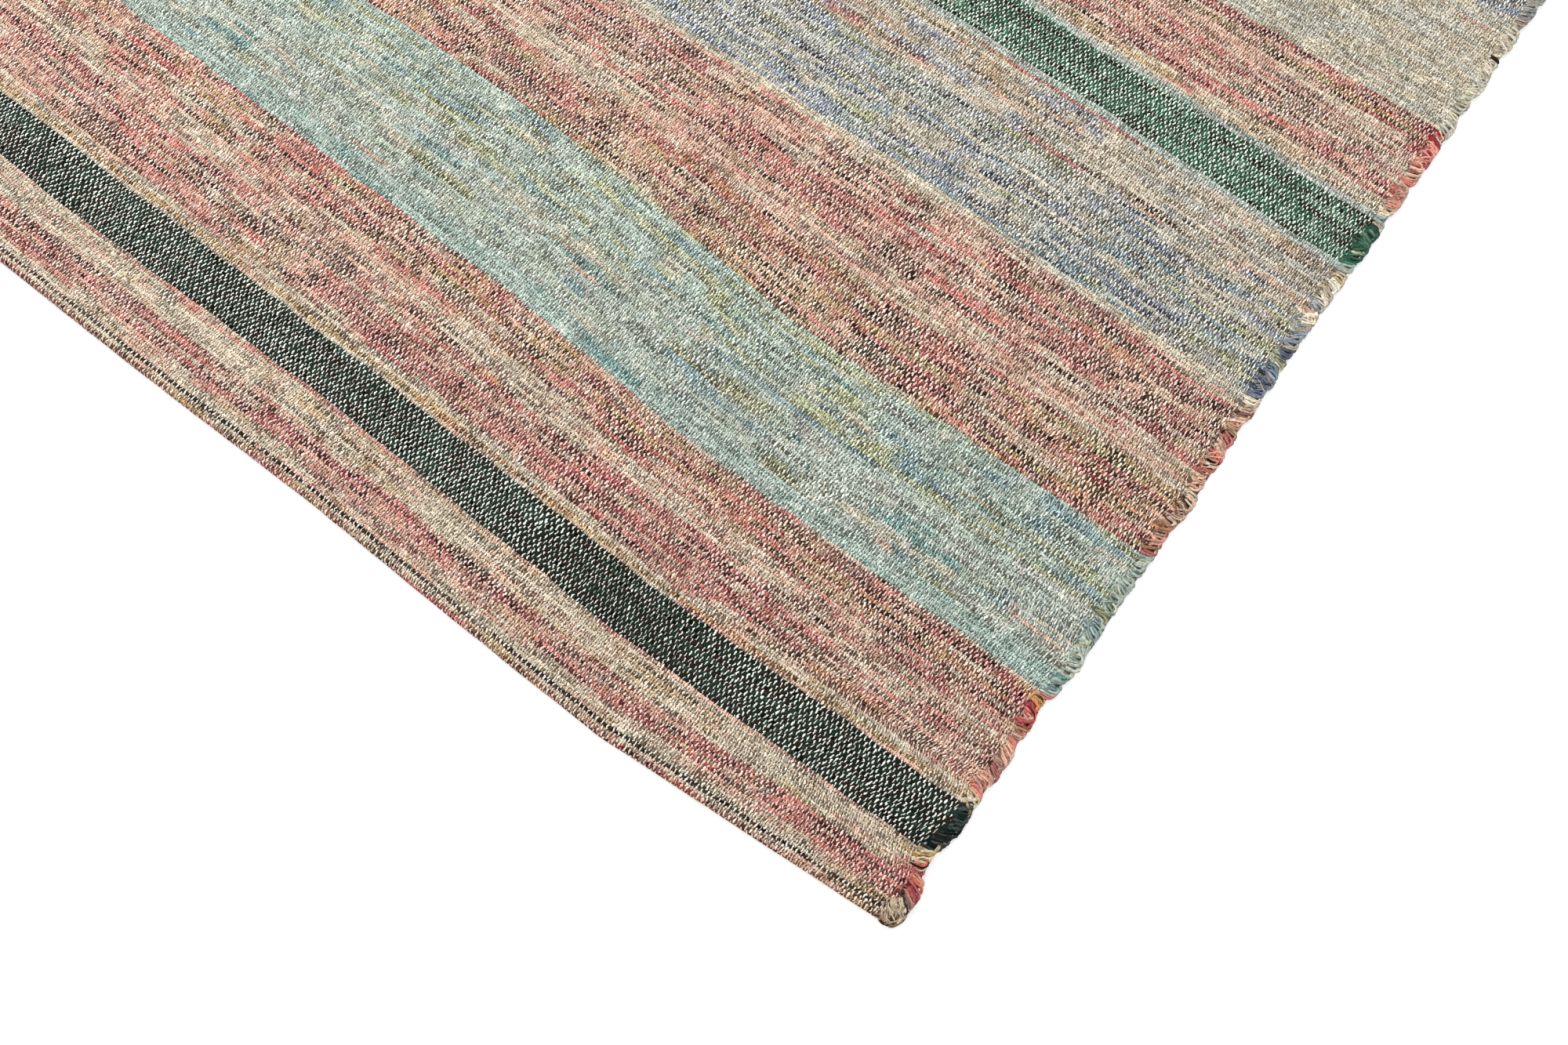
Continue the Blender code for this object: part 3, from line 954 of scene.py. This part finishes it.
def rag_weave():
    """Plain weave: thin cream warp over a thick weft, whose colour the cloth carries."""
    finish = Finish("rag weave")
    noise, step, mix, shaded = finish.noise, finish.step, finish.mix, finish.shaded
    ends, picks = finish.uv("weave")
    fluff = finish.attribute("fluff", "Fac")
    yarn = finish.attribute("yarn")
    fleck = finish.attribute("fleck")
    red, green, _ = finish.parts(yarn)
    paleness = step(red.math("MAXIMUM", green), 0.07, 0.20)

    # Uneven spacing of both sets of threads
    ends = ends + (noise(ends * 0.022, picks * 0.004, 31.0) - 0.5) * 9.0
    sway_end, sway_pick, _ = finish.parts(noise(ends * 0.37, picks * 0.6, 3.0, output="Color"))
    rough_end, rough_pick, _ = finish.parts(noise(ends * 1.3, picks * 1.8, 61.0, output="Color"))
    ends = ends + (sway_end - 0.5) * 1.1 + (rough_end - 0.5) * 0.9
    picks = picks + (sway_pick - 0.5) * 0.9 + (rough_pick - 0.5) * 0.9
    end_number = ends.math("FLOOR")
    pick_number = picks.math("FLOOR")

    # How far the weft covers the warp: by its fluff, on slack ends, in streaks along a pick and on lumps
    slack = noise(end_number * 0.83, picks * 0.09, 7.0)
    streak = noise(ends * 0.09, pick_number * 0.83, 21.0)
    lump = step(noise(ends * 0.16, pick_number * 0.31, 41.0), 0.66, 0.76)
    cover = (fluff + (slack - 0.5) * 0.3 + (streak - 0.5) + lump * 0.5).clamped()

    # A warp end shows over every second pick, in turn with its neighbours
    tick_place = picks - 0.5 + end_number
    tick_number = (tick_place / 2 + 0.5).math("FLOOR")
    bright, slim, aside = finish.chances(end_number, tick_number, 1.0)
    sparse = step(noise(ends * 0.011, picks * 0.06, 101.0), 0.48, 0.64)
    tick_half = TICK_HALF - 0.09 * slim - 0.13 * cover - (0.05 + 0.07 * sparse) * (1 - paleness)
    tick_length = TICK_LENGTH - 0.14 * slim + 0.10 * paleness
    off_end = (ends - end_number - 0.5 + (aside - 0.5) * 0.40) / tick_half
    off_tick = tick_place.math("PINGPONG", 1.0) / tick_length
    tick_round = off_end * off_end + (off_tick * off_tick).math("POWER", 2.0)
    edge_end = HALF_WIDTH / END - BARE_ENDS
    from_middle = ends.math("ABSOLUTE") + (sway_end - 0.5) * 9
    in_cloth = step(from_middle, edge_end + 1.2, edge_end - 1.2)
    shown = (1 - cover * 0.28) * in_cloth
    tick = step(tick_round, 1.25, 0.80) * shown
    tick_dome = (1.25 - tick_round).math("MAXIMUM", 0.0).math("SQRT") * shown

    # The weft shows between them as blobs that bulge a little past their own pick
    off_pick = (picks - pick_number - 0.5) / BLOB_LENGTH
    along = ends - 0.5 + pick_number
    from_blob = (1 - along.math("PINGPONG", 1.0)) * (0.30 + 0.70 * shown) / BLOB_HALF
    blob_dome = (1 - from_blob * from_blob - off_pick * off_pick).math("MAXIMUM", 0.0)
    lines = noise(ends * 0.8, picks * 3.4, 11.0)
    specks = noise(ends * 1.9, picks * 3.2, 71.0, 2.0)
    hush = noise(ends * 0.33, picks * 0.45, 81.0)
    height = (blob_dome * 0.90).math("MAXIMUM", tick_dome)

    # Painted shade in the gaps where neither fills the cloth, more of them in open rows
    open_row = step(noise(ends * 0.045, pick_number * 0.77, 111.0), 0.50, 0.62)
    filled = height + (specks - 0.5) * 1.4 + (hush - 0.5) * 0.5 - fluff * 0.15
    gap_shade_mask = step(filled + 0.05 - open_row * (1 - cover * 0.6) * 0.54, 0.57, 0.28)

    # Weft colour: runs of yarn with stray fibres of other yarns spun in, and painted shade in hollows
    # between its rags
    odd, lit, sunk = finish.chances((along / 2).math("FLOOR"), pick_number, 0.0)
    weft = mix(step(odd, 0.76, 0.86) * 0.65, yarn, fleck)
    rags = noise(ends * 0.075, pick_number * 0.77, 51.0)
    hollow = step(sunk * 0.5 + (rags - 0.5) * (2.7 - cover) - cover * 0.12, 0.56, 0.64)
    weft = mix(hollow * (fluff * 2).clamped(), weft, fleck)
    light = 0.67 + 0.30 * lit + 0.40 * step(lines, 0.40, 0.60)
    light = light * (0.40 + 0.76 * step(specks, 0.38, 0.58))
    # painted shade in the hollows, less of it in fluffy yarn
    hollow_shade = (0.84 - fluff).math("MINIMUM", 0.84)
    light = light * (1 - hollow_shade * hollow) * (1 - 0.26 * paleness * (1 - cover))
    weft = shaded(weft, light)

    # Warp colour: lighter and darker ends, cooler on dark weft, tinted by pale weft
    warp = mix((bright * 0.8 + slack * 0.6).math("MINIMUM", 1.0), WARP_SHADE, WARP)
    warp = mix((1 - paleness) * 0.6, warp, WARP_COOL)
    warp = mix((0.36 + cover * 0.44) * paleness, warp, yarn, "COLOR")
    warp = mix((0.06 + cover * 0.24) * paleness, warp, yarn)
    warp = shaded(warp, 0.80 + 0.28 * step(specks, 0.36, 0.58))

    # Threads, painted shade in the gaps and fine pale hairs over both
    # the painted gap shade is near black, or the yarn darkened where the weft is fluffy
    gap_shade = mix((fluff * 1.3).math("MINIMUM", 0.6), PAINTED_GAP_SHADE, shaded(yarn, 0.34))
    cloth = mix(gap_shade_mask * 0.98, weft, gap_shade)
    cloth = mix(tick, cloth, warp)
    drift = noise(ends * 0.26, picks * 0.42, 91.0)
    stray = noise(ends * 0.11, picks * 0.17, 96.0)
    hair = step((drift - 0.5).math("ABSOLUTE"), 0.026, 0.010) * step(stray, 0.46, 0.54)
    cloth = mix(hair * (0.06 + cover * 0.4) * paleness, cloth, WARP)
    finish.set(
        Base_Color=cloth,
        Roughness=0.95 - 0.12 * tick,
        Normal=finish.bump(height + (lines + specks) * (0.10 + 0.16 * cover), 0.85, 0.0011),
        Specular_IOR_Level=0.05,
    )
    return finish.material


def turned_yarn():
    """The same rag yarn where it turns at a selvedge: fibres run along it, with painted shade on its flanks
    and in thin creases.
    """
    finish = Finish("turned yarn")
    along, around = finish.uv("weave")
    strands = finish.noise(along * 0.15, around * 6.0, along * 0.05, 2.0)
    fine = finish.noise(along * 0.55, around * 11.0, 5.0, 2.0)
    flank = (around - 0.5).math("ABSOLUTE") * 2  # 1 on top of the strand and 0 under it
    # painted shade: darker on the strand's flanks and along thin creases
    shade = finish.step(flank, 0.34, 0.80)
    groove = finish.step(strands, 0.40, 0.47)
    light = (0.34 + 0.66 * shade) * (0.38 + 0.62 * groove) * (0.56 + 0.60 * finish.step(fine, 0.36, 0.62))
    finish.set(
        Base_Color=finish.shaded(finish.attribute("yarn"), light),
        Roughness=0.95,
        Normal=finish.bump(strands + fine * 0.4, 0.7, 0.0007),
        Specular_IOR_Level=0.05,
    )
    return finish.material


# --- Pieces ---


def add_object(name, data):
    thing = bpy.data.objects.new(name, data)
    bpy.context.scene.collection.objects.link(thing)
    return thing


def add_piece(mesh, material):
    """Puts a mesh in the scene as a piece of the rug, by the mesh's name."""
    mesh.materials.append(material)
    piece = add_object(mesh.name, mesh)
    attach(piece, "root")
    return piece


def note_ends(pick_ends, rows, turning, yarn, flecks):
    """Notes the (y, z, yarn, fleck, fluff) where each of the turning picks ends at either selvedge."""
    for pick, place, face, back in rows:
        if pick not in turning or place % 1 != 0.5:
            continue
        for side, column in (("left", 0), ("right", -1)):
            x, y = face[column][:2]
            level = float(face_height(x, y)) - STRAND_UP
            colour, fluff = yarn[pick, column, :3], yarn[pick, column, 3]
            pick_ends[side].append((y, level, colour, flecks[pick, column, :3], fluff))


def weave_stripes(material, dice):
    """Adds every stripe as a sheet, and returns where the picks end at the two selvedges."""
    pick_ends = {"left": [], "right": []}
    first_pick = 0
    near_y = fold_y("near", COLUMNS) + FOLD_RADIUS
    for name, bands, marks in STRIPES:
        count = sum(number for number, band in bands)
        near_fold = HEM_PICKS if name == "near_hem" else 0
        far_fold = HEM_PICKS if name == "far_hem" else 0
        far_y = stripe_line(marks, COLUMNS) if marks else fold_y("far", COLUMNS) - FOLD_RADIUS
        rows = stripe_rows(count, lumps(count, dice), near_y, far_y, near_fold, far_fold)
        yarn, flecks = stripe_yarns(name, bands, dice)
        piece = add_piece(sheet_mesh(name, rows, yarn, flecks, first_pick), material)
        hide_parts(SOLID)
        length = float(np.mean(far_y - near_y)) + (HEM_DEPTH + CLOTH if near_fold or far_fold else 0)
        first_turning = near_fold + KNUCKLE_PICKS if near_fold else 0
        stop_turning = count - (far_fold + KNUCKLE_PICKS if far_fold else 0)
        note_ends(pick_ends, rows, range(first_turning, stop_turning), yarn, flecks)
        near_y = far_y
        first_pick += count
    return pick_ends


# --- The studio ---

FLOOR_SIZE = 12
FLOOR_UNDER = 0.0002  # how far the floor lies under the rug
KEY_PLACE = (-1.7, 0.5, 2.1)
KEY_AIM = (0.1, -0.3, 0)
KEY_SIZE = 1.6
KEY_POWER = 93
SKY = 0.95
CAMERA_PLACE = (0.5273, -0.9162, 0.957)
CAMERA_TURN = 37.3  # degrees to the left of looking along +Y
CAMERA_DOWN = 73.8  # degrees below the horizon
CAMERA_LENS = 28.8


def add_floor():
    bpy.ops.mesh.primitive_plane_add(size=FLOOR_SIZE, location=(0, 0, -FLOOR_UNDER))
    floor = bpy.context.object
    floor.name = "floor"
    finish = Finish("floor")
    finish.set(Base_Color=(0.95, 0.95, 0.95, 1.0), Roughness=0.9)
    finish.set(Emission_Color=(1.0, 1.0, 1.0, 1.0), Emission_Strength=0.30)
    floor.data.materials.append(finish.material)


def add_key_light():
    """A soft square lamp, turned towards the rug."""
    lamp = bpy.data.lights.new("key", "AREA")
    lamp.size = KEY_SIZE
    lamp.energy = KEY_POWER
    turned = (Vector(KEY_AIM) - Vector(KEY_PLACE)).to_track_quat("-Z", "Y").to_matrix().to_4x4()
    add_object("key", lamp).matrix_world = Matrix.Translation(KEY_PLACE) @ turned


def add_sky():
    """Even white light from all round."""
    world = bpy.data.worlds.new("studio")
    world.use_nodes = True
    background = world.node_tree.nodes["Background"]
    background.inputs["Color"].default_value = (1.0, 1.0, 1.0, 1.0)
    background.inputs["Strength"].default_value = SKY
    bpy.context.scene.world = world
    bpy.context.scene.view_settings.view_transform = "Standard"


def add_camera():
    data = bpy.data.cameras.new("camera")
    data.lens = CAMERA_LENS
    data.sensor_width = 36.0
    data.clip_start = 0.01
    camera = add_object("camera", data)
    camera.location = CAMERA_PLACE
    camera.rotation_euler = (math.radians(90 - CAMERA_DOWN), 0, math.radians(CAMERA_TURN))
    bpy.context.scene.camera = camera


def main():
    dice = random.Random(7)
    add_camera()
    add_floor()
    add_sky()
    add_key_light()
    pick_ends = weave_stripes(rag_weave(), dice)
    yarn = turned_yarn()
    for side in ("left", "right"):
        add_piece(selvedge_mesh(side, pick_ends[side], dice), yarn)
    for end in ("near", "far"):
        for side in ("left", "right"):
            add_piece(knuckle_mesh(end, side, dice), yarn)
    add_piece(fibres_mesh(dice), yarn)


main()
